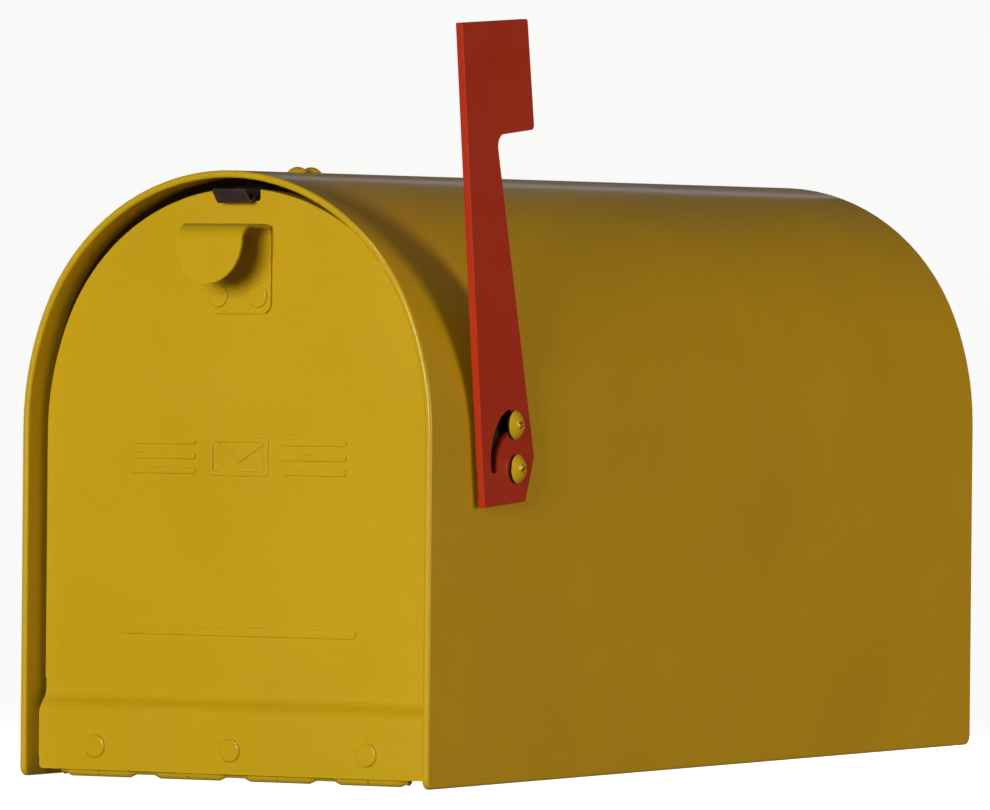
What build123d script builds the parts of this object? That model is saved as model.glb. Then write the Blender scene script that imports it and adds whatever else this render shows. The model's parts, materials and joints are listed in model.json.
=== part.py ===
"""Arched steel mailbox with a hinged door, a sprung catch and a carrier signal flag.

Millimetres. +X is right seen from the front, +Y goes from the door to the back, +Z is up.
While the pieces are drawn, the front edge of the body lies at y = 0 and the bottom edge of its
side walls at z = 0. Every piece is saved with the origin moved to the centre of the four mounting
holes, on the underside of the floor.
"""
from build123d import *
import math
import os

os.makedirs("parts", exist_ok=True)

# ---------------------------------------------------------------- body
BODY_WIDTH = 190.0
BODY_HEIGHT = 248.0
BODY_LENGTH = 510.0
SHEET = 1.5                    # 16 gauge steel: body, band, floor, rear panel, door and handle
SIDE_RADIUS = 126.0            # arch above the straight side walls
CROWN_RADIUS = 92.4            # arch over the middle
CORNER_RADIUS = 4.0            # lower corners of the side walls
BAND_WIDTH = 16.0              # doubling of the front edge
BAND_EDGE_RADIUS = 1.2

FLOOR_TOP = 28.0
FLOOR_FRONT = 9.9
FLOOR_FRONT_FLANGE_END = 7.5
FLOOR_SIDE_FLANGE = 16.0
FLOOR_PLAY = 0.4               # floor to band, each side
FLANGE_PLAY = 3.0              # ends of the side flanges to the band and the rear panel
RIB_SPACING = 68.0
RIB_WIDTH = 12.0
RIB_HEIGHT = 2.5
RIB_END_DISTANCE = 45.0        # from either end of the body
BOLT_SPACING_X = 100.0
BOLT_SPACING_Y = 250.0
BOLT_HOLE = 7.0                # clears a 1/4 in or M6 bolt
DRAIN_HOLE = 5.0
DRAIN_X = 84.0
DRAIN_END_DISTANCE = 30.0

REAR_RECESS = 6.0
REAR_FLANGE = 14.0
REAR_BEND = 2.0
BEAD_INSET = 26.0              # raised bead round the rear panel
BEAD_WIDTH = 9.0
BEAD_EDGE = 1.2

# ---------------------------------------------------------------- door and hinge
DOOR_FACE = 12.0               # depth of the door behind the front edge
DOOR_INSET = 4.8               # door edge inside the outside of the body
DOOR_DROP = 2.3                # the door's arch is lower than the body's by this much
DOOR_FLANGE = 12.0
DOOR_EDGE = 0.6
SKIRT_FACE = 6.8
SKIRT_TOP = 28.0
SKIRT_BOTTOM = 3.1
SKIRT_INSET = 5.5
SKIRT_BEND = 6.0
NOTCH_WIDTH = 18.4
NOTCH_BOTTOM = 235.7
EMBOSS = 0.8                   # height of the pressings on the door

HINGE_Y = 11.7
HINGE_Z = 3.1
PIN_DIAMETER = 3.2
PIN_HEAD = 4.6
KNUCKLE_DIAMETER = 5.8
KNUCKLE_WIDTH = 16.3
KNUCKLE_GAP = 0.3
KNUCKLE_PAIR_PITCH = 41.9
KNUCKLE_PAIRS = 4
KNUCKLE_TAPER = (1.1, 2.6)     # off the end's radius, and along the barrel
LEAF = 1.2
LEAF_WIDTH = 178.0
LEAF_TOP = 24.0
LEAF_BOTTOM = HINGE_Z + KNUCKLE_DIAMETER / 2 + 0.6

# ---------------------------------------------------------------- handle and catch
HANDLE_WIDTH = 30.0
HANDLE_BOTTOM = 190.0
HANDLE_TOP = 226.4
TAB_FRONT = -12.6              # depth of the pull's knee and of its tip
TAB_TIP_FRONT = -15.2
TAB_TIP = 202.2
TAB_ROUND = 16.5               # height of the tab's rounded lower end

CATCH_WIDTH = 15.0
CATCH_SHEET = 1.0
CATCH_BEND_Y = 52.0
CATCH_END_Y = 77.0
CATCH_CEILING_GAP = 0.4        # the strip is flat and the ceiling is arched

# ---------------------------------------------------------------- flag
FLAG_SHEET = 3.0
FLAG_LEAN = 7.0                # degrees, the raised flag leans towards the door
FLAG_TRAVEL = 80.0             # degrees
FLAG_PIVOT_Y = 65.2
FLAG_PIVOT_Z = 128.0
FLAG_STOP_RADIUS = 18.0
FLAG_GAP = 1.2                 # body to flag, filled by the pad
FLAG_EDGE = 0.3
SIDE_GAP = 0.2                 # flag to pad and flag to head washer
SLOT_INNER = 15.4              # radii of the curved slot about the pivot
SLOT_WIDE = 25.0
SLOT_NARROW = 20.8
SLOT_SLACK = 0.1
BUSH_WALL = 1.0
PAD_RADIUS = 26.5              # quarter round about the pivot, behind the whole slot
PAD_MARGIN = 8.0               # pad past the screws, to the rear and below
HEAD_WASHER = 0.8
HEAD_WASHER_RADIUS = 5.9

# ---------------------------------------------------------------- fasteners
HOLE_SLACK = 0.05              # radial, fixed fasteners
RUNNING_CLEARANCE = 0.05       # radial, pin in knuckle and screw in flag
CATCH_RIVETS_Y = (59.0, 70.5)
CATCH_SHANK = 4.8
SKIRT_RIVETS_X = (-63.2, 0.0, 63.2)
SKIRT_RIVETS_Z = 12.8
SKIRT_SHANK = 4.8
LEAF_RIVETS_X = (-84.0, -32.0, 32.0, 84.0)
LEAF_RIVETS_Z = 19.0
FLUSH_SHANK = 4.0
FLUSH_HEAD = 6.4
HANDLE_RIVETS_X = (-9.4, 9.0)
HANDLE_RIVETS_Z = 197.0
HANDLE_SHANK = 4.0
FLAG_SHANK = 6.0
STOP_SHANK = 5.0
WASHER = 1.0
WASHER_RADIUS = 6.0
NUT_HEIGHT = 4.6
NUT_HEXAGON = 3.2              # height of the hexagon, the rest is the round collar
NUT_ACROSS_FLATS = 9.0

# ---------------------------------------------------------------- worked out from them
HALF_WIDTH = BODY_WIDTH / 2
SIDE_CENTRE_X = SIDE_RADIUS - HALF_WIDTH
CROWN_CENTRE_Z = BODY_HEIGHT - CROWN_RADIUS
SPRING_Z = CROWN_CENTRE_Z - math.sqrt((SIDE_RADIUS - CROWN_RADIUS) ** 2 - SIDE_CENTRE_X ** 2)
SIDE_TURN = math.degrees(math.atan2(CROWN_CENTRE_Z - SPRING_Z, SIDE_CENTRE_X))
CEILING = BODY_HEIGHT - SHEET
FLOOR_UNDER = FLOOR_TOP - SHEET
DOOR_BACK = DOOR_FACE + SHEET
REAR_OUTSIDE = BODY_LENGTH - REAR_RECESS
REAR_INSIDE = REAR_OUTSIDE - SHEET
PATTERN_Y = BODY_LENGTH / 2
DOOR_LEAF_FRONT = SKIRT_FACE + SHEET
BODY_LEAF_FRONT = FLOOR_FRONT + SHEET
CATCH_TOP = CEILING - CATCH_CEILING_GAP
CATCH_MIDDLE_Z = CATCH_TOP - CATCH_SHEET / 2
FLAG_INSIDE = HALF_WIDTH + FLAG_GAP
FLAG_OUTSIDE = FLAG_INSIDE + FLAG_SHEET
HEAD_UNDER = FLAG_OUTSIDE + SIDE_GAP + HEAD_WASHER
LEAN = math.radians(FLAG_LEAN)
FLAG_STOP_Y = FLAG_PIVOT_Y - FLAG_STOP_RADIUS * math.sin(LEAN)
FLAG_STOP_Z = FLAG_PIVOT_Z + FLAG_STOP_RADIUS * math.cos(LEAN)
FLAG_SCREWS = {
    "pivot": (FLAG_PIVOT_Y, FLAG_PIVOT_Z, FLAG_SHANK),
    "stop": (FLAG_STOP_Y, FLAG_STOP_Z, STOP_SHANK),
}
THROUGH = 5.0                  # how far a cutter reaches past the sheet it cuts


# ---------------------------------------------------------------- helpers
def save(shape, node):
    """Write one piece, with the origin moved to the mounting pattern."""
    export_step(shape.moved(Location((0, -PATTERN_Y, -FLOOR_UNDER))), f"parts/{node}.step")


def slab(outline, front, back):
    """Prism of an X-Z outline between two depths."""
    return Pos(0, back, 0) * extrude(Plane.XZ * outline, back - front)


def bar(outline, left, right):
    """Prism of a Y-Z outline between two X positions."""
    return Pos(left, 0, 0) * extrude(Plane.YZ * outline, right - left)


def block(x_range, y_range, z_range):
    """Box between two corners."""
    size = [high - low for low, high in (x_range, y_range, z_range)]
    corner = Pos(x_range[0], y_range[0], z_range[0])
    return corner * Box(*size, align=(Align.MIN, Align.MIN, Align.MIN))


def arch(inset=0.0, drop=0.0, base=0.0):
    """The body's arched outline, offset inwards, lowered, and cut off flat at the base."""
    half = HALF_WIDTH - inset
    spring = SPRING_Z - drop
    crown_turn = 180 - 2 * SIDE_TURN
    right = CenterArc((-SIDE_CENTRE_X, spring), SIDE_RADIUS - inset, 0, SIDE_TURN)
    crown = CenterArc((0, CROWN_CENTRE_Z - drop), CROWN_RADIUS - inset, SIDE_TURN, crown_turn)
    left = CenterArc((SIDE_CENTRE_X, spring), SIDE_RADIUS - inset, 180 - SIDE_TURN, SIDE_TURN)
    right_leg = Line((half, base), (half, spring))
    left_leg = Line((-half, spring), (-half, base))
    sill = Line((-half, base), (half, base))
    return make_face([right_leg, right, crown, left, left_leg, sill])


def bent_strip(points, radii, width, thickness):
    """Sheet strip of one width, bent along a Y-Z centre line."""
    path = FilletPolyline(*[(0, y, z) for y, z in points], radius=radii)
    start = Plane(origin=path @ 0, x_dir=(1, 0, 0), z_dir=path % 0)
    return sweep(start * Rectangle(width, thickness), path=path)


def edges_at_y(shape, depth, above=-1.0):
    """All edges that lie wholly at one depth, and above a height."""
    found = []
    for edge in shape.edges():
        depths = [point.Y for point in edge.vertices()] + [edge.center().Y]
        if max(abs(y - depth) for y in depths) < 0.01 and edge.center().Z > above:
            found.append(edge)
    return found


def hole_x(radius, x_range, y, z):
    """Round cutter along X."""
    length = x_range[1] - x_range[0]
    return Pos(sum(x_range) / 2, y, z) * Rot(0, 90, 0) * Cylinder(radius, length)


def hole_y(radius, x, y_range, z):
    """Round cutter along Y."""
    length = y_range[1] - y_range[0]
    return Pos(x, sum(y_range) / 2, z) * Rot(90, 0, 0) * Cylinder(radius, length)


def hole_z(radius, x, y, z_range):
    """Round cutter along Z."""
    length = z_range[1] - z_range[0]
    return Pos(x, y, sum(z_range) / 2) * Cylinder(radius, length)


def dome(diameter, rise):
    """Cap of a sphere standing on z = 0."""
    sphere_radius = (diameter ** 2 / 4 + rise ** 2) / (2 * rise)
    cap = Pos(0, 0, rise - sphere_radius) * Sphere(sphere_radius)
    return cap & (Pos(0, 0, rise) * Cylinder(diameter / 2, 2 * rise))


def button(diameter, rise):
    """Low head with a flat top and a rounded rim, standing on z = 0."""
    head = Pos(0, 0, rise / 2) * Cylinder(diameter / 2, rise)
    return fillet(head.edges().group_by(Axis.Z)[-1], 0.85 * rise)


def rivet(head, shank, grip, tail, tail_height):
    """Rivet along Z: head above z = 0, shank through the grip, upset tail below."""
    body = Pos(0, 0, -grip / 2) * Cylinder(shank / 2, grip)
    upset = Pos(0, 0, -grip - tail_height / 2) * Cylinder(tail / 2, tail_height)
    upset = chamfer(upset.edges().group_by(Axis.Z)[0], tail_height * 0.4)
    return head + body + upset


def facing_front(shape, x, y, z):
    """Stand a Z-wise fastener with its head towards the front."""
    return Pos(x, y, z) * Rot(90, 0, 0) * shape


def facing_right(shape, x, y, z):
    """Stand a Z-wise fastener with its head towards +X."""
    return Pos(x, y, z) * Rot(0, 90, 0) * shape


def polar_point(radius, degrees):
    turn = math.radians(degrees)
    return (radius * math.cos(turn), radius * math.sin(turn))


# ---------------------------------------------------------------- body, band, rear panel, floor
def side_view_trim():
    """Side view of the body with its lower corners rounded, as a wide prism."""
    outline = RectangleRounded(BODY_LENGTH, 2 * BODY_HEIGHT, CORNER_RADIUS)
    return bar(Pos(BODY_LENGTH / 2, BODY_HEIGHT) * outline, -BODY_WIDTH, BODY_WIDTH)


def make_body_shell():
    shell = slab(arch() - arch(SHEET), 0, BODY_LENGTH) & side_view_trim()
    outer_rim = [edge for edge in edges_at_y(shell, 0) if not on_inner_rim(edge, SHEET)]
    shell = fillet(outer_rim, BAND_EDGE_RADIUS)
    for y in CATCH_RIVETS_Y:
        shell -= hole_z(CATCH_SHANK / 2 + HOLE_SLACK, 0, y, (CEILING - THROUGH, BODY_HEIGHT + THROUGH))
    for y, z, shank in FLAG_SCREWS.values():
        reach = (HALF_WIDTH - SHEET - THROUGH, HALF_WIDTH + THROUGH)
        shell -= hole_x(shank / 2 + HOLE_SLACK, reach, y, z)
    return shell


def on_inner_rim(edge, inset):
    """Whether a front edge's middle lies on the arch at this inset."""
    middle = edge @ 0.5
    if middle.Z < SPRING_Z:
        return abs(abs(middle.X) - (HALF_WIDTH - inset)) < 0.01
    side = math.hypot(abs(middle.X) + SIDE_CENTRE_X, middle.Z - SPRING_Z)
    crown = math.hypot(middle.X, middle.Z - CROWN_CENTRE_Z)
    return min(abs(side - SIDE_RADIUS + inset), abs(crown - CROWN_RADIUS + inset)) < 0.01


def make_front_band():
    """Second layer inside the front edge."""
    band = slab(arch(SHEET) - arch(2 * SHEET), 0, BAND_WIDTH) & side_view_trim()
    inner_rim = [edge for edge in edges_at_y(band, 0) if on_inner_rim(edge, 2 * SHEET)]
    return fillet(inner_rim, BAND_EDGE_RADIUS)


def make_rear_panel():
    dish = slab(arch(SHEET), REAR_OUTSIDE - REAR_FLANGE, REAR_OUTSIDE)
    dish = fillet(edges_at_y(dish, REAR_OUTSIDE, above=1.0), REAR_BEND)
    hollow = slab(arch(2 * SHEET), REAR_OUTSIDE - REAR_FLANGE, REAR_INSIDE)
    base = FLOOR_TOP + BEAD_INSET - SHEET
    bead = arch(BEAD_INSET, 0, base) - arch(BEAD_INSET + BEAD_WIDTH, 0, base + BEAD_WIDTH)
    raised = slab(bead, REAR_OUTSIDE, REAR_OUTSIDE + SHEET)
    raised = fillet(edges_at_y(raised, REAR_OUTSIDE + SHEET), BEAD_EDGE)
    side = 1.0
    far = BEAD_WIDTH - side
    trough = arch(BEAD_INSET + side, 0, base + side) - arch(BEAD_INSET + far, 0, base + far)
    return dish - hollow + raised - slab(trough, REAR_INSIDE, REAR_INSIDE + SHEET)


def make_floor_pan():
    front_half = HALF_WIDTH - 2 * SHEET - FLOOR_PLAY
    wall_half = HALF_WIDTH - SHEET
    wide = (BAND_WIDTH + FLANGE_PLAY, REAR_OUTSIDE - REAR_FLANGE - FLANGE_PLAY)
    layer = (FLOOR_UNDER, FLOOR_TOP)
    pan = block((-front_half, front_half), (FLOOR_FRONT, REAR_INSIDE), layer)
    pan += block((-wall_half, wall_half), wide, layer)
    front_layer = (FLOOR_FRONT, FLOOR_FRONT + SHEET)
    pan += block((-front_half, front_half), front_layer, (FLOOR_FRONT_FLANGE_END, FLOOR_TOP))
    for side in (-1, 1):
        reach = sorted((side * wall_half, side * (wall_half - SHEET)))
        pan += block(reach, wide, (FLOOR_TOP - FLOOR_SIDE_FLANGE, FLOOR_TOP))
    front_bend = pan.edges().filter_by(Axis.X).group_by(Axis.Z)[-1].group_by(Axis.Y)[0]
    pan = fillet(front_bend, SHEET)
    for x in (-RIB_SPACING, 0.0, RIB_SPACING):
        pan = add_floor_rib(pan, x)
    depth = (FLOOR_UNDER - THROUGH, FLOOR_TOP + THROUGH)
    for x in (-BOLT_SPACING_X / 2, BOLT_SPACING_X / 2):
        for y in (PATTERN_Y - BOLT_SPACING_Y / 2, PATTERN_Y + BOLT_SPACING_Y / 2):
            pan -= hole_z(BOLT_HOLE / 2, x, y, depth)
    for x in (-DRAIN_X, DRAIN_X):
        for y in (DRAIN_END_DISTANCE, BODY_LENGTH - DRAIN_END_DISTANCE):
            pan -= hole_z(DRAIN_HOLE / 2, x, y, depth)
    for x in SKIRT_RIVETS_X:
        room = (FLOOR_FRONT - THROUGH, FLOOR_FRONT + SHEET + 1)
        pan -= hole_y(SKIRT_SHANK / 2 + 3.6, x, room, SKIRT_RIVETS_Z)
    for x in LEAF_RIVETS_X:
        pan -= facing_front(countersunk(HOLE_SLACK), x, FLOOR_FRONT, LEAF_RIVETS_Z)
    return pan


def add_floor_rib(pan, x):
    """Stiffening rib pressed up into the floor, sheet thickness kept."""
    length = BODY_LENGTH - 2 * RIB_END_DISTANCE
    slope = 0.9 * RIB_HEIGHT
    outside = SlotOverall(length, RIB_WIDTH, rotation=90)
    inside = SlotOverall(length - 2, RIB_WIDTH - 2, rotation=90)
    top = extrude(Pos(x, PATTERN_Y, FLOOR_TOP) * outside, RIB_HEIGHT)
    top = chamfer(top.edges().group_by(Axis.Z)[-1], slope)
    hollow = extrude(Pos(x, PATTERN_Y, FLOOR_UNDER) * inside, RIB_HEIGHT)
    hollow = chamfer(hollow.edges().group_by(Axis.Z)[-1], slope)
    return pan + top - hollow


# ---------------------------------------------------------------- hinge
def knuckle_spans(owner):
    """X range of each knuckle of one leaf: every pair has a door half and a body half."""
    spans = []
    for pair in range(KNUCKLE_PAIRS):
        centre = (pair - (KNUCKLE_PAIRS - 1) / 2) * KNUCKLE_PAIR_PITCH
        door_side = -1 if pair % 2 == 0 else 1
        side = door_side if owner == "door" else -door_side
        inner = side * KNUCKLE_GAP / 2
        outer = side * KNUCKLE_WIDTH
        spans.append((centre + inner, centre + outer))
    return spans


def make_leaf(owner, front, shank, rivets_x, rivets_z):
    """Hinge leaf: a flat strip with rolled knuckles, tapered at their free ends."""
    layer = (front, front + LEAF)
    leaf = block((-LEAF_WIDTH / 2, LEAF_WIDTH / 2), layer, (LEAF_BOTTOM, LEAF_TOP))
    for inner, outer in knuckle_spans(owner):
        low, high = sorted((inner, outer))
        barrel = hole_x(KNUCKLE_DIAMETER / 2, (low, high), HINGE_Y, HINGE_Z)
        free_end = barrel.faces().sort_by(Axis.X)[-1 if outer > inner else 0]
        barrel = chamfer(free_end.edges(), *KNUCKLE_TAPER, reference=free_end)
        root = block((low + 1.2, high - 1.2), layer, (HINGE_Z, LEAF_BOTTOM))
        leaf += barrel + root
    leaf -= hole_x(PIN_DIAMETER / 2 + RUNNING_CLEARANCE, (-LEAF_WIDTH, LEAF_WIDTH), HINGE_Y, HINGE_Z)
    for x in rivets_x:
        leaf -= hole_y(shank / 2 + HOLE_SLACK, x, (front - 1, front + LEAF + 1), rivets_z)
    return leaf


def make_hinge_pin():
    reach = (KNUCKLE_PAIRS - 1) / 2 * KNUCKLE_PAIR_PITCH + KNUCKLE_WIDTH + 1.5
    pin = hole_x(PIN_DIAMETER / 2, (-reach, reach), HINGE_Y, HINGE_Z)
    for side in (-1, 1):
        head = hole_x(PIN_HEAD / 2, sorted((side * (reach - 0.9), side * reach)), HINGE_Y, HINGE_Z)
        pin += chamfer(head.edges().group_by(Axis.X)[-1 if side > 0 else 0], 0.35)
    return pin


def countersunk(slack):
    """Flush rivet head along Z, mouth at z = 0."""
    return Pos(0, 0, -SHEET / 2) * Cone(FLUSH_SHANK / 2 + slack, FLUSH_HEAD / 2 + slack, SHEET)


def make_leaf_rivet(x):
    flush = rivet(countersunk(0.0), FLUSH_SHANK, SHEET + LEAF, FLUSH_HEAD, 1.4)
    return facing_front(flush, x, FLOOR_FRONT, LEAF_RIVETS_Z)


def make_skirt_rivet(x):
    low = rivet(button(9.6, 1.1), SKIRT_SHANK, SHEET + LEAF, 7.0, 1.3)
    return facing_front(low, x, SKIRT_FACE, SKIRT_RIVETS_Z)


# ---------------------------------------------------------------- door
def pressed(outline, rise=EMBOSS):
    """Raised pressing on the door's face with softened edges."""
    raised = slab(outline, DOOR_FACE - rise, DOOR_FACE + SHEET / 2)
    return fillet(edges_at_y(raised, DOOR_FACE - rise), rise / 2)


def stroke(start, end, width):
    """Rounded straight stroke between two points of the door's face."""
    run = Vector(end[0] - start[0], end[1] - start[1])
    turn = math.degrees(math.atan2(run.Y, run.X))
    middle = Pos((start[0] + end[0]) / 2, (start[1] + end[1]) / 2)
    return middle * Rot(0, 0, turn) * SlotOverall(run.length + width, width)


def make_emblem():
    """Envelope outline between two groups of ribs, and one long rib lower down."""
    centre_z = 132.0
    height = 16.0
    half = 14.0
    line = 2.2
    rib_x = 35.0
    rib_pitch = 6.0
    outside = RectangleRounded(2 * half, height, 2.0)
    inside = RectangleRounded(2 * (half - line), height - 2 * line, 0.8)
    pressings = [pressed(Pos(0, centre_z) * (outside - inside))]
    flap_tip = (0, centre_z - 1.5)
    for side in (-1, 1):
        flap_corner = (side * (half - 1.3), centre_z + height / 2 - 1.3)
        pressings.append(pressed(stroke(flap_corner, flap_tip, line), EMBOSS - 0.05))
        for row in (-1, 0, 1):
            rib = Pos(side * rib_x, centre_z + row * rib_pitch) * SlotOverall(30.0, 2.8)
            pressings.append(pressed(rib))
    pressings.append(pressed(Pos(0, 61.0) * SlotOverall(110.0, 4.0)))
    return pressings


def make_door_panel():
    dish_base = SKIRT_TOP + 12.0
    dish_back = DOOR_FACE + DOOR_FLANGE
    dish = slab(arch(DOOR_INSET, DOOR_DROP, dish_base), DOOR_FACE, dish_back)
    dish = fillet(edges_at_y(dish, DOOR_FACE, above=dish_base + 1), DOOR_EDGE)
    dish -= slab(arch(DOOR_INSET + SHEET, DOOR_DROP, dish_base), DOOR_BACK, dish_back)
    middle = SHEET / 2
    joggle = DOOR_FACE - SKIRT_FACE
    profile = [
        (DOOR_FACE + middle, dish_base),
        (DOOR_FACE + middle, SKIRT_TOP + joggle),
        (SKIRT_FACE + middle, SKIRT_TOP),
        (SKIRT_FACE + middle, SKIRT_BOTTOM),
    ]
    skirt = bent_strip(profile, [SKIRT_BEND, SKIRT_BEND], 2 * (HALF_WIDTH - SKIRT_INSET), SHEET)
    skirt = fillet(skirt.edges().filter_by(Axis.Y).group_by(Axis.Z)[0], 1.5)
    door = dish + skirt
    notch_height = 20.0
    notch = RectangleRounded(NOTCH_WIDTH, notch_height, 1.2)
    door -= slab(Pos(0, NOTCH_BOTTOM + notch_height / 2) * notch, DOOR_FACE - 1, dish_back + 1)
    for pressing in make_emblem():
        door += pressing
    for x in HANDLE_RIVETS_X:
        door -= hole_y(HANDLE_SHANK / 2 + HOLE_SLACK, x, (DOOR_FACE - 2, DOOR_BACK + 2), HANDLE_RIVETS_Z)
    for x in SKIRT_RIVETS_X:
        layer = (SKIRT_FACE - 2, SKIRT_FACE + SHEET + 2)
        door -= hole_y(SKIRT_SHANK / 2 + HOLE_SLACK, x, layer, SKIRT_RIVETS_Z)
    return door


def make_handle():
    """Riveted plate that folds forward over the top into a hanging, rounded pull."""
    middle = SHEET / 2
    plate_y = DOOR_FACE - middle
    top_z = HANDLE_TOP - middle
    overrun = 3.0
    lean = (TAB_FRONT - TAB_TIP_FRONT) / (top_z - TAB_TIP)
    end = (TAB_TIP_FRONT - lean * overrun, TAB_TIP - overrun)
    handle = bent_strip([(plate_y, HANDLE_BOTTOM), (plate_y, top_z), (TAB_FRONT, top_z), end],
                        [5.0, 7.5], HANDLE_WIDTH, SHEET)
    lower_corners = [edge for edge in handle.edges().filter_by(Axis.Y)
                     if edge.center().Y > 0 and edge.center().Z < HANDLE_BOTTOM + 1]
    handle = fillet(lower_corners, 4.5)
    half = HANDLE_WIDTH / 2
    centre_z = TAB_TIP + TAB_ROUND
    tab = Pos(0, centre_z) * Ellipse(half, TAB_ROUND) + Pos(0, centre_z + 20) * Rectangle(2 * half, 40)
    outside_tab = Pos(0, centre_z) * Rectangle(HANDLE_WIDTH + 4, 60) - tab
    handle -= slab(outside_tab, TAB_TIP_FRONT - 5, TAB_FRONT + 8)
    for x in HANDLE_RIVETS_X:
        handle -= hole_y(HANDLE_SHANK / 2 + HOLE_SLACK, x, (plate_y - 3, plate_y + 3), HANDLE_RIVETS_Z)
    return handle


def make_handle_rivet(x):
    low = rivet(button(9.2, 0.95), HANDLE_SHANK, 2 * SHEET, 6.4, 1.2)
    return facing_front(low, x, DOOR_FACE - SHEET, HANDLE_RIVETS_Z)


# ---------------------------------------------------------------- catch
def make_catch_anchor():
    """Riveted rear part of the catch strip."""
    strip = block((-CATCH_WIDTH / 2, CATCH_WIDTH / 2), (CATCH_BEND_Y + 0.8, CATCH_END_Y),
                  (CATCH_TOP - CATCH_SHEET, CATCH_TOP))
    strip = fillet(strip.edges().filter_by(Axis.Z).group_by(Axis.Y)[-1], 3.0)
    for y in CATCH_RIVETS_Y:
        strip -= hole_z(CATCH_SHANK / 2 + HOLE_SLACK, 0, y, (CATCH_TOP - THROUGH, CATCH_TOP + THROUGH))
    return strip


def make_catch_tongue():
    """Front part of the strip: slopes down through the door's notch and turns up into a ramp."""
    profile = [
        (CATCH_BEND_Y, CATCH_MIDDLE_Z),
        (17.0, 240.3),
        (6.8, 234.9),
        (1.4, 240.2),
    ]
    tongue = bent_strip(profile, [10.0, 1.6], CATCH_WIDTH, CATCH_SHEET)
    corners = tongue.edges().filter_by(lambda edge: abs(edge.length - CATCH_SHEET) < 0.01)
    return fillet(corners.group_by(Axis.Y)[0], 0.9)


def make_catch_rivet(y):
    grip = BODY_HEIGHT - (CATCH_TOP - CATCH_SHEET)
    return Pos(0, y, BODY_HEIGHT) * rivet(dome(8.6, 2.3), CATCH_SHANK, grip, 7.0, 1.4)


# ---------------------------------------------------------------- flag
def make_flag_outline():
    """Banner, tapering shaft and foot, about the pivot: across the shaft, then along it."""
    banner_front = (-27.5, 184.3)
    banner_rear = (29.0, 180.6)
    banner_lower = (30.3, 135.3)
    shaft_top = (-2.4, 136.3)
    heel = (16.4, 2.8)
    heel_lower = (7.0, -14.3)
    toe = (-28.4, -12.1)
    corners = [banner_front, banner_rear, banner_lower, shaft_top, heel, heel_lower, toe]
    outline = make_face(Polyline(*corners, close=True))
    rounding = {banner_rear: 1.2, banner_lower: 2.0, shaft_top: 5.0, heel: 2.0}
    for corner, radius in rounding.items():
        outline = fillet(outline.vertices().sort_by_distance((*corner, 0))[:1], radius)
    return outline


def make_flag_slot():
    """Curved slot that widens towards the end where the raised flag rests on the stop screw."""
    rest = STOP_SHANK / 2 + SLOT_SLACK
    near_turn = math.degrees(math.acos(rest / SLOT_INNER))
    far_turn = 90 + FLAG_TRAVEL + math.degrees(rest / FLAG_STOP_RADIUS)
    inner = CenterArc((0, 0), SLOT_INNER, near_turn, far_turn - near_turn)
    outer = ThreePointArc(polar_point(SLOT_NARROW, far_turn), polar_point(SLOT_WIDE - 0.8, 133.0),
                          polar_point(SLOT_WIDE, 97.0))
    top = (rest, FLAG_STOP_RADIUS + rest)
    sides = [Line(inner @ 1, outer @ 0), Line(outer @ 1, top), Line(top, inner @ 0)]
    slot = make_face([inner, outer] + sides)
    end_round = STOP_SHANK / 2 - SLOT_SLACK
    for corner, radius in ((inner @ 1, end_round), (outer @ 0, end_round), (outer @ 1, 1.5)):
        slot = fillet(slot.vertices().sort_by_distance(corner)[:1], radius)
    return slot


def make_flag_arm():
    outline = make_flag_outline() - make_flag_slot() - Circle(FLAG_SHANK / 2 + BUSH_WALL)
    flat = Rot(0, 0, FLAG_LEAN) * outline
    flag = Pos(FLAG_INSIDE, FLAG_PIVOT_Y, FLAG_PIVOT_Z) * extrude(Plane.YZ * flat, FLAG_SHEET)
    faces = flag.faces().sort_by(Axis.X)
    rims = faces[0].outer_wire().edges() + faces[-1].outer_wire().edges()
    return fillet(rims, FLAG_EDGE)


def make_flag_bush():
    bush = Cylinder(FLAG_SHANK / 2 + BUSH_WALL, FLAG_SHEET)
    bush -= Cylinder(FLAG_SHANK / 2 + RUNNING_CLEARANCE, FLAG_SHEET)
    return facing_right(bush, FLAG_INSIDE + FLAG_SHEET / 2, FLAG_PIVOT_Y, FLAG_PIVOT_Z)


def cross_recess(length, width, depth):
    """Tapering cross, mouth at z = 0."""
    cutter = Part()
    for turn in (0, 90):
        mouth = Rot(0, 0, turn) * Rectangle(length, width)
        bottom = Pos(0, 0, -depth) * Rot(0, 0, turn) * Rectangle(length * 0.45, width * 0.6)
        cutter += loft([mouth, bottom])
    return cutter


def make_flag_screw(y, z, shank):
    """Domed screw with a cross recess; the shank ends past the lock nut."""
    rise = 3.0
    twist = {FLAG_SHANK: 20, STOP_SHANK: 55}[shank]
    head = dome(12.0, rise)
    head -= Pos(0, 0, rise) * Rot(0, 0, twist) * cross_recess(5.2, 1.5, 2.2)
    length = HEAD_UNDER - (HALF_WIDTH - SHEET - WASHER - NUT_HEIGHT) + 1.0
    body = Pos(0, 0, -length / 2) * Cylinder(shank / 2, length)
    body = chamfer(body.edges().group_by(Axis.Z)[0], 0.6)
    return facing_right(head + body, HEAD_UNDER, y, z)


def wall_seat(z):
    """Inner X of the wall at the top of a washer, where the arch has begun to lean in."""
    height = max(0.0, z + WASHER_RADIUS - SPRING_Z)
    return math.sqrt((SIDE_RADIUS - SHEET) ** 2 - height ** 2) - SIDE_CENTRE_X


def ring(radius, thickness, shank, middle_x, y, z):
    """Flat ring on a flag screw."""
    flat = Cylinder(radius, thickness) - Cylinder(shank / 2 + HOLE_SLACK, thickness)
    return facing_right(flat, middle_x, y, z)


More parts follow.
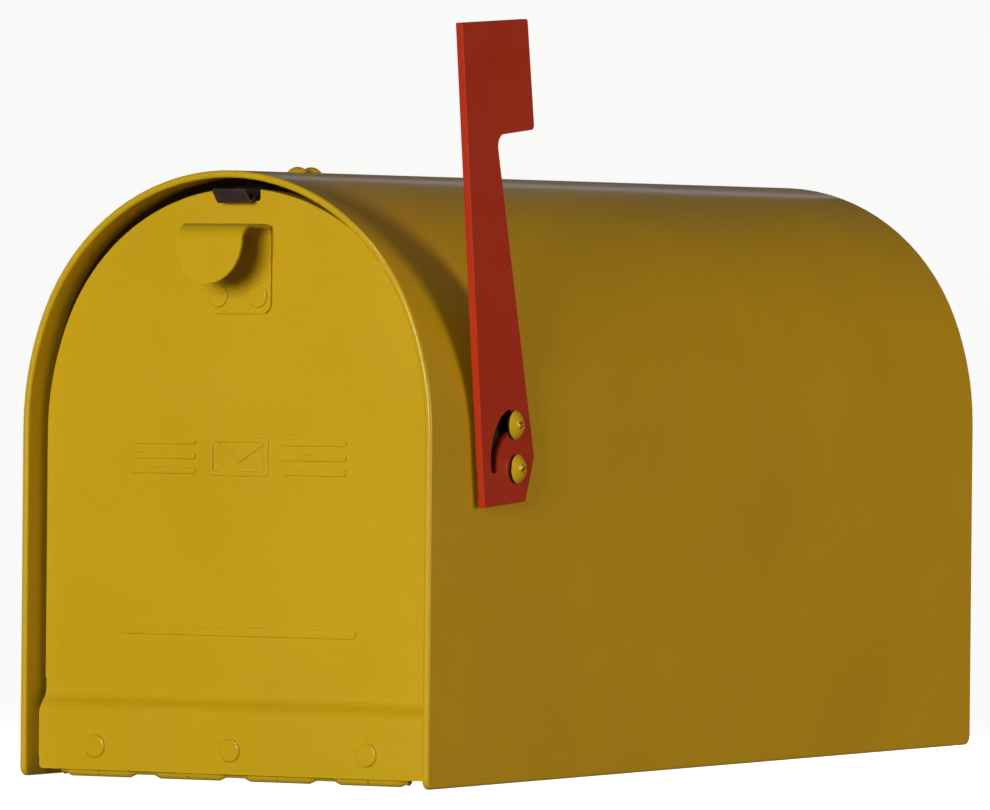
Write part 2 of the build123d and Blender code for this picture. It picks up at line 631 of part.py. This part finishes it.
def make_flag_pad():
    """Quarter-round pad that keeps the flag off the wall, on both screws."""
    reach = PAD_RADIUS + PAD_MARGIN
    middle = (PAD_MARGIN - PAD_RADIUS) / 2
    outline = Circle(PAD_RADIUS) & Pos(middle, -middle) * Rectangle(reach, reach)
    outline = fillet(outline.vertices(), 3.0)
    outline -= Circle(FLAG_SHANK / 2 + HOLE_SLACK)
    outline -= Pos(0, FLAG_STOP_RADIUS) * Circle(STOP_SHANK / 2 + HOLE_SLACK)
    flat = Rot(0, 0, FLAG_LEAN) * outline
    place = Pos(HALF_WIDTH, FLAG_PIVOT_Y, FLAG_PIVOT_Z)
    return place * extrude(Plane.YZ * flat, FLAG_GAP - SIDE_GAP)


def make_head_washer(y, z, shank):
    return ring(HEAD_WASHER_RADIUS, HEAD_WASHER, shank, HEAD_UNDER - HEAD_WASHER / 2, y, z)


def make_washer(y, z, shank):
    return ring(WASHER_RADIUS, WASHER, shank, wall_seat(z) - WASHER / 2, y, z)


def make_nut(y, z, shank):
    """Lock nut: hexagon with a round collar for the locking ring."""
    hexagon = extrude(RegularPolygon(NUT_ACROSS_FLATS / 2, 6, major_radius=False), NUT_HEXAGON)
    collar_height = NUT_HEIGHT - NUT_HEXAGON
    collar = Pos(0, 0, NUT_HEXAGON + collar_height / 2) * Cylinder(3.9, collar_height)
    collar = fillet(collar.edges().group_by(Axis.Z)[-1], 0.6)
    nut = hexagon + collar - Cylinder(shank / 2 + HOLE_SLACK, 4 * NUT_HEIGHT)
    return Pos(wall_seat(z) - WASHER, y, z) * Rot(0, -90, 0) * nut


# ---------------------------------------------------------------- write every piece
save(make_body_shell(), "body_shell")
save(make_front_band(), "front_band")
save(make_rear_panel(), "rear_panel")
save(make_floor_pan(), "floor_pan")
save(make_leaf("body", BODY_LEAF_FRONT, FLUSH_SHANK, LEAF_RIVETS_X, LEAF_RIVETS_Z), "hinge_leaf_body")
save(make_leaf("door", DOOR_LEAF_FRONT, SKIRT_SHANK, SKIRT_RIVETS_X, SKIRT_RIVETS_Z), "hinge_leaf_door")
save(make_hinge_pin(), "hinge_pin")
for index, x in enumerate(LEAF_RIVETS_X, start=1):
    save(make_leaf_rivet(x), f"leaf_rivet_{index}")

save(make_door_panel(), "door_panel")
save(make_handle(), "door_handle")
for side, x in zip(("left", "right"), HANDLE_RIVETS_X):
    save(make_handle_rivet(x), f"handle_rivet_{side}")
for side, x in zip(("left", "centre", "right"), SKIRT_RIVETS_X):
    save(make_skirt_rivet(x), f"skirt_rivet_{side}")

save(make_catch_anchor(), "catch_anchor")
save(make_catch_tongue(), "catch_tongue")
for side, y in zip(("front", "rear"), CATCH_RIVETS_Y):
    save(make_catch_rivet(y), f"catch_rivet_{side}")

save(make_flag_arm(), "flag_arm")
save(make_flag_bush(), "flag_bush")
save(make_flag_pad(), "flag_pad")
for role, screw in FLAG_SCREWS.items():
    save(make_flag_screw(*screw), f"flag_{role}_screw")
    save(make_head_washer(*screw), f"flag_{role}_head_washer")
    save(make_washer(*screw), f"flag_{role}_washer")
    save(make_nut(*screw), f"flag_{role}_nut")
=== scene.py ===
"""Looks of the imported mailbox: powder-coated sheet steel, a blackened catch and plated fasteners.

Metres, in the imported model's frame: -Y is out of the door, +X towards the flag, +Z up.
"""
import json
import math

import bmesh
import bpy
from mathutils import Matrix, Vector


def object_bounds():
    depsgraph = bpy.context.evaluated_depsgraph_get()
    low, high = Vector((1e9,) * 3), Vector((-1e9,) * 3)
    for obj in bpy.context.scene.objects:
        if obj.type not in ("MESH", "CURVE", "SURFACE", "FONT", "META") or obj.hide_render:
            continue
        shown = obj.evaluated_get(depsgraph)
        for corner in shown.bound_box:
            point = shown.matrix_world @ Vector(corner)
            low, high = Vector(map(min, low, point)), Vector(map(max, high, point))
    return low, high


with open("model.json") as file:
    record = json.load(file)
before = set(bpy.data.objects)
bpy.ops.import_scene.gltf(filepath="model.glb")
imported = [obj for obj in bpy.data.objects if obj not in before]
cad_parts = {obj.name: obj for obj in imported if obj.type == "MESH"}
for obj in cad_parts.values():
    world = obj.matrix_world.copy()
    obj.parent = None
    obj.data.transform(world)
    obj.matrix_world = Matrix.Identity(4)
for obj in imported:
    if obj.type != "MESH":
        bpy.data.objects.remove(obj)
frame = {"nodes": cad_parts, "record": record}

CAD_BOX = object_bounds()
MM = 0.001

# ---------------------------------------------------------------- colours, linear
YELLOW = (0.610, 0.385, 0.006)
RED = (0.500, 0.026, 0.003)
BLACKENED = (0.090, 0.070, 0.078)
ZINC = (0.560, 0.560, 0.540)
NYLON = (0.006, 0.006, 0.008)
FLOOR = (0.860, 0.860, 0.855)
DUST = (0.420, 0.380, 0.300)

# ---------------------------------------------------------------- shader helpers
MIX_A, MIX_B, MIX_RESULT = 6, 7, 2       # colour sockets of the Mix node


def add(tree, kind, settings=None, **sockets):
    """One shader node. A socket takes a number, a colour or another node's output."""
    made = tree.nodes.new(f"ShaderNode{kind}")
    for name, value in (settings or {}).items():
        setattr(made, name, value)
    for name, value in sockets.items():
        socket = made.inputs[name.replace("_", " ")]
        if isinstance(value, bpy.types.NodeSocket):
            tree.links.new(value, socket)
        else:
            socket.default_value = value
    return made


def shade(colour, factor):
    """The colour made lighter or darker, with alpha."""
    return tuple(min(1.0, channel * factor) for channel in colour) + (1.0,)


def noise(tree, where, scale, detail=2.0, roughness=0.5, distortion=0.0):
    return add(tree, "TexNoise", Vector=where, Scale=scale, Detail=detail, Roughness=roughness,
               Distortion=distortion).outputs["Fac"]


def stretched(tree, where, scale):
    """The coordinates scaled along each axis, for streaks and brushing."""
    return add(tree, "Mapping", Vector=where, Scale=scale).outputs["Vector"]


def remap(tree, value, low, high, new_low, new_high):
    return add(tree, "MapRange", Value=value, From_Min=low, From_Max=high, To_Min=new_low,
               To_Max=new_high).outputs["Result"]


def times(tree, first, second):
    made = add(tree, "Math", {"operation": "MULTIPLY"})
    for socket, value in zip(made.inputs, (first, second)):
        tree.links.new(value, socket)
    return made.outputs["Value"]


def mixed(tree, factor, first, second):
    """Colour mix; first and second are colours or outputs."""
    made = add(tree, "Mix", {"data_type": "RGBA"})
    tree.links.new(factor, made.inputs["Factor"])
    for index, value in ((MIX_A, first), (MIX_B, second)):
        if isinstance(value, bpy.types.NodeSocket):
            tree.links.new(value, made.inputs[index])
        else:
            made.inputs[index].default_value = value
    return made.outputs[MIX_RESULT]


def bumped(tree, height, distance, strength, below=None):
    """Bump of a real height in metres, laid over another bump if there is one."""
    made = add(tree, "Bump", Height=height, Distance=distance, Strength=strength)
    if below is not None:
        tree.links.new(below, made.inputs["Normal"])
    return made.outputs["Normal"]


def edge_mask(tree, reach):
    """1 on outside and inside edges, 0 on flat faces."""
    rounded = add(tree, "Bevel", {"samples": 6}, Radius=reach).outputs["Normal"]
    plain = add(tree, "NewGeometry").outputs["Normal"]
    dot = add(tree, "VectorMath", {"operation": "DOT_PRODUCT"})
    tree.links.new(rounded, dot.inputs[0])
    tree.links.new(plain, dot.inputs[1])
    return remap(tree, dot.outputs["Value"], 0.98, 0.80, 0.0, 1.0)


def start_material(name):
    """(material, node tree, Principled shader, object coordinates, object-space normal's Z)."""
    made = bpy.data.materials.new(name)
    made.use_nodes = True
    tree = made.node_tree
    shader = tree.nodes["Principled BSDF"]
    coordinates = add(tree, "TexCoord")
    facing = add(tree, "SeparateXYZ", Vector=coordinates.outputs["Normal"]).outputs["Z"]
    return made, tree, shader, coordinates.outputs["Object"], facing


def finish_shader(tree, shader, **linked):
    for name, output in linked.items():
        tree.links.new(output, shader.inputs[name.replace("_", " ")])


# ---------------------------------------------------------------- materials
PAINTED_HIGHLIGHT_REACH = 1.1 * MM                     # reach of the painted edge highlight, partly a thinner coat, on coated edges
METAL_EDGE = 0.5 * MM
PEEL_HEIGHT = 0.05 * MM                  # orange peel of the powder coat
SHEET_WAVE_HEIGHT = 0.5 * MM
FINE_RELIEF = 0.03 * MM                  # brushing and tool marks
SCREW_HEAD_START = 100.3 * MM            # X of the seat of the flag's screw heads
SCREW_PAINT_FADE = 0.05 * MM
SCREWS = ("flag_pivot_screw", "flag_stop_screw")


def powder_coat(name, paint, sheen_low, sheen_high, bare_and_shaded_inside=None):
    """Semi-gloss powder coat: orange peel, slight sheet waviness, a painted highlight on edges that also
    stands for a thinner coat there, and a little dust.

    Parts nearer to the middle than bare_and_shaded_inside, in metres along X, are made near-black: partly
    bare unpainted metal, partly painted shade for the inside of the flag's slot.
    """
    made, tree, shader, where, facing = start_material(name)
    cloud = noise(tree, where, 11.0, 3.0)
    grain = noise(tree, where, 420.0, 3.0, 0.6)
    base = mixed(tree, remap(tree, cloud, 0.3, 0.7, 0.0, 1.0), shade(paint, 0.95), shade(paint, 1.04))
    base = mixed(tree, remap(tree, grain, 0.35, 0.75, 0.0, 0.18), base, shade(paint, 0.80))
    patchy = remap(tree, noise(tree, where, 160.0), 0.3, 0.7, 0.15, 0.75)
    # Painted highlight: edges are lightened in patches to stand for light caught on rounded rims, and
    # partly for a thinner coat there.
    edges = times(tree, edge_mask(tree, PAINTED_HIGHLIGHT_REACH), patchy)
    base = mixed(tree, edges, base, shade(paint, 1.22))
    settled = times(tree, remap(tree, facing, 0.75, 1.0, 0.0, 0.16), noise(tree, where, 38.0, 5.0))
    base = mixed(tree, settled, base, shade(DUST, 1.0))
    # Painted shade: the screw shank below the head is made near-black. It stands partly for bare metal and
    # partly for the shade inside the flag's slot.
    if bare_and_shaded_inside is not None:
        across = add(tree, "SeparateXYZ", Vector=where).outputs["X"]
        bare_shank_shade = remap(tree, across, bare_and_shaded_inside, bare_and_shaded_inside - SCREW_PAINT_FADE, 0.0, 1.0)
        base = mixed(tree, bare_shank_shade, base, shade(NYLON, 1.0))
    smears = noise(tree, stretched(tree, where, (1.0, 0.35, 1.0)), 30.0, 6.0, 0.6, 0.4)
    gloss = remap(tree, smears, 0.3, 0.7, sheen_low, sheen_high)
    ripple = noise(tree, stretched(tree, where, (1.0, 0.25, 1.0)), 16.0, 1.0)
    waves = bumped(tree, ripple, SHEET_WAVE_HEIGHT, 0.35)
    peel = bumped(tree, noise(tree, where, 620.0, 1.0), PEEL_HEIGHT, 0.5, waves)
    shader.inputs["IOR"].default_value = 1.5
    shader.inputs["Specular IOR Level"].default_value = 0.20
    shader.inputs["Coat Weight"].default_value = 0.30
    shader.inputs["Coat Roughness"].default_value = 0.13
    finish_shader(tree, shader, Base_Color=base, Roughness=gloss, Normal=peel)
    return made


def brushed_metal(name, metal, brush, gloss_low, gloss_high, stain, bareness=1.0):
    """Bare or treated metal with brushing along one axis, blotches and fine scratches."""
    made, tree, shader, where, _ = start_material(name)
    lines = noise(tree, stretched(tree, where, brush), 900.0, 3.0, 0.7)
    blotches = noise(tree, where, 130.0, 4.0, 0.6, 0.6)
    base = mixed(tree, remap(tree, blotches, 0.35, 0.7, 0.0, 1.0), shade(metal, 1.12), shade(metal, stain))
    base = mixed(tree, remap(tree, lines, 0.4, 0.7, 0.0, 0.35), base, shade(metal, 0.6))
    worn = times(tree, edge_mask(tree, METAL_EDGE), remap(tree, blotches, 0.3, 0.7, 0.2, 0.9))
    base = mixed(tree, worn, base, shade(metal, 1.7))
    gloss = remap(tree, lines, 0.3, 0.7, gloss_low, gloss_high)
    relief = bumped(tree, lines, FINE_RELIEF, 0.4)
    shader.inputs["Metallic"].default_value = bareness
    finish_shader(tree, shader, Base_Color=base, Roughness=gloss, Normal=relief)
    return made


def turned_nylon(name):
    """Black nylon with faint flow marks and tool rings."""
    made, tree, shader, where, _ = start_material(name)
    cloud = noise(tree, where, 90.0, 3.0)
    base = mixed(tree, remap(tree, cloud, 0.3, 0.7, 0.0, 1.0), shade(NYLON, 0.8), shade(NYLON, 1.6))
    gloss = remap(tree, noise(tree, where, 400.0), 0.3, 0.7, 0.38, 0.55)
    rings = noise(tree, stretched(tree, where, (4.0, 1.0, 1.0)), 700.0)
    relief = bumped(tree, rings, FINE_RELIEF, 0.3)
    shader.inputs["Specular IOR Level"].default_value = 0.18
    finish_shader(tree, shader, Base_Color=base, Roughness=gloss, Normal=relief)
    return made


MATERIALS = {
    "body_coat": powder_coat("yellow_powder_coat", YELLOW, 0.30, 0.42),
    "flag_coat": powder_coat("red_powder_coat", RED, 0.32, 0.46),
    "spring_steel": brushed_metal("blackened_spring_steel", BLACKENED, (1.0, 0.08, 1.0), 0.25, 0.42, 0.7,
                                  bareness=0.5),
    "zinc_steel": brushed_metal("zinc_plated_steel", ZINC, (0.6, 1.0, 1.0), 0.28, 0.45, 0.82),
    "nylon": turned_nylon("black_nylon"),
}
SCREW_COAT = powder_coat("yellow_screw_coat", YELLOW, 0.28, 0.40, bare_and_shaded_inside=SCREW_HEAD_START)


def dress_nodes():
    """Each CAD node takes the material of its slot; the flag's screws are yellow on the head only, with
    near-black shanks that are partly bare metal and partly painted shade in the flag's slot.
    """
    for entry in frame["record"]["subparts"]:
        mesh = frame["nodes"][entry["node"]].data
        mesh.materials.clear()
        if entry["node"] in SCREWS:
            mesh.materials.append(SCREW_COAT)
        else:
            mesh.materials.append(MATERIALS[entry["material_slot"]])


dress_nodes()

# ---------------------------------------------------------------- floor
FLOOR_DROP = 0.16                # the open door hangs below the walls, as on a post
FLOOR_FLAT_RADIUS = 5.0
FLOOR_SWEEP_RADIUS = 8.0
FLOOR_WALL_TOP = 10.0
FLOOR_SEGMENTS = 96
SWEEP_STEPS = 32
FLOOR_GLOW = 1.08                # keeps the far floor pale although the lamps stand close


def make_floor():
    """Flat glowing floor that sweeps up into a round wall, so that no horizon shows from any side."""
    ground = CAD_BOX[0][2] - FLOOR_DROP
    profile = [(0.0, ground), (FLOOR_FLAT_RADIUS, ground)]
    for step in range(1, SWEEP_STEPS + 1):
        turn = math.pi / 2 * step / SWEEP_STEPS
        profile.append((FLOOR_FLAT_RADIUS + FLOOR_SWEEP_RADIUS * math.sin(turn),
                        ground + FLOOR_SWEEP_RADIUS * (1 - math.cos(turn))))
    profile.append((FLOOR_FLAT_RADIUS + FLOOR_SWEEP_RADIUS, FLOOR_WALL_TOP))
    form = bmesh.new()
    points = [form.verts.new((radius, 0.0, height)) for radius, height in profile]
    lines = [form.edges.new(pair) for pair in zip(points, points[1:])]
    bmesh.ops.spin(form, geom=points + lines, cent=(0, 0, 0), axis=(0, 0, 1), angle=2 * math.pi,
                   steps=FLOOR_SEGMENTS, use_merge=True)
    bmesh.ops.remove_doubles(form, verts=form.verts, dist=1e-5)
    bmesh.ops.recalc_face_normals(form, faces=form.faces)
    for face in form.faces:
        face.smooth = True
    mesh = bpy.data.meshes.new("studio_floor")
    form.to_mesh(mesh)
    form.free()
    floor = bpy.data.objects.new("studio_floor", mesh)
    bpy.context.scene.collection.objects.link(floor)
    made, tree, shader, where, _ = start_material("pale_floor")
    base = mixed(tree, noise(tree, where, 3.0, 4.0), shade(FLOOR, 0.30), shade(FLOOR, 0.33))
    shader.inputs["Specular IOR Level"].default_value = 0.15
    shader.inputs["Roughness"].default_value = 0.8
    shader.inputs["Emission Color"].default_value = shade(FLOOR, 1.0)
    shader.inputs["Emission Strength"].default_value = FLOOR_GLOW
    finish_shader(tree, shader, Base_Color=base)
    mesh.materials.append(made)
    floor.visible_diffuse = False
    floor.visible_glossy = False


make_floor()

# ---------------------------------------------------------------- light
AIM = Vector((0.0, 0.0, 0.10))
NEAR_WHITE = (1.0, 0.99, 0.96)
AMBER = (1.0, 0.81, 0.55)
COOL_WHITE = (0.96, 0.98, 1.0)
WARM_WHITE = (1.0, 0.98, 0.95)
SKY_BLUE = (0.62, 0.70, 1.0)
WHITE = (1.0, 1.0, 1.0)
NADIR = (0.16, 0.15, 0.13, 1.0)          # room light from below, level and above
LEVEL = (0.060, 0.052, 0.042, 1.0)
ZENITH = (0.04, 0.04, 0.05, 1.0)


def softbox(name, place, width, height, watts, colour):
    """Rectangular lamp that faces the middle of the mailbox."""
    light = bpy.data.lights.new(name, "AREA")
    light.shape = "RECTANGLE"
    light.size = width
    light.size_y = height
    light.energy = watts
    light.color = colour
    lamp = bpy.data.objects.new(name, light)
    lamp.location = place
    lamp.rotation_euler = (AIM - Vector(place)).to_track_quat("-Z", "Y").to_euler()
    lamp.visible_camera = False
    bpy.context.scene.collection.objects.link(lamp)
    return lamp


def light_object():
    """Two lamps for the sides in view, two dull fills, a strip on the crown and a glint."""
    softbox("door_softbox", (0.40, -3.60, 0.60), 1.2, 0.9, 99.0, NEAR_WHITE)
    softbox("side_softbox", (3.3, 1.2, 0.42), 1.6, 1.0, 52.0, AMBER)
    left_fill = softbox("left_softbox", (-3.5, 0.3, 0.35), 1.8, 1.4, 60.0, COOL_WHITE)
    rear_fill = softbox("rear_softbox", (-0.6, 3.7, 0.35), 1.8, 1.4, 60.0, WARM_WHITE)
    for fill in (left_fill, rear_fill):
        fill.visible_glossy = False
    softbox("crest_softbox", (-1.7, 3.6, 1.15), 0.7, 0.16, 0.5, SKY_BLUE)
    glint = softbox("glint_softbox", (1.5, -1.45, 3.0), 0.45, 0.45, 40.0, WHITE)
    glint.visible_diffuse = False    # only its reflection on rims and rivet heads is wanted


def light_room():
    """Dim room light, brightest from below, as off a pale floor."""
    world = bpy.data.worlds.new("room")
    world.use_nodes = True
    tree = world.node_tree
    direction = add(tree, "TexCoord").outputs["Generated"]
    height = add(tree, "SeparateXYZ", Vector=direction).outputs["Z"]
    ramp = add(tree, "ValToRGB", Fac=remap(tree, height, -1.0, 1.0, 0.0, 1.0))
    ramp.color_ramp.elements[0].color = NADIR
    ramp.color_ramp.elements[1].color = ZENITH
    ramp.color_ramp.elements.new(0.5).color = LEVEL
    tree.links.new(ramp.outputs["Color"], tree.nodes["Background"].inputs["Color"])
    bpy.context.scene.world = world


light_object()
light_room()

# ---------------------------------------------------------------- camera
CAMERA_PLACE = Vector((1.9534, -3.7015, 0.17107))
CAMERA_YAW = 0.488             # radians, turned left from +Y
CAMERA_PITCH = -0.011
CAMERA_ROLL = 0.00925
SENSOR = 36.0                  # millimetres, as is the lens
LENS = 355.9
VIEW_DEPTH = 60.0


def make_camera():
    """Long lens from the front right, about level with the middle of the door."""
    ahead = Vector((-math.sin(CAMERA_YAW) * math.cos(CAMERA_PITCH),
                    math.cos(CAMERA_YAW) * math.cos(CAMERA_PITCH), math.sin(CAMERA_PITCH)))
    level_right = Vector((math.cos(CAMERA_YAW), math.sin(CAMERA_YAW), 0.0))
    level_up = level_right.cross(ahead)
    right = level_right * math.cos(CAMERA_ROLL) + level_up * math.sin(CAMERA_ROLL)
    up = level_up * math.cos(CAMERA_ROLL) - level_right * math.sin(CAMERA_ROLL)
    lens = bpy.data.cameras.new("view")
    lens.sensor_fit = "HORIZONTAL"
    lens.sensor_width = SENSOR
    lens.lens = LENS
    lens.clip_end = VIEW_DEPTH
    camera = bpy.data.objects.new("view", lens)
    turned = Matrix((right, up, -ahead)).transposed().to_4x4()
    camera.matrix_world = Matrix.Translation(CAMERA_PLACE) @ turned
    bpy.context.scene.collection.objects.link(camera)
    bpy.context.scene.camera = camera


make_camera()
bpy.context.scene.view_settings.view_transform = "Standard"
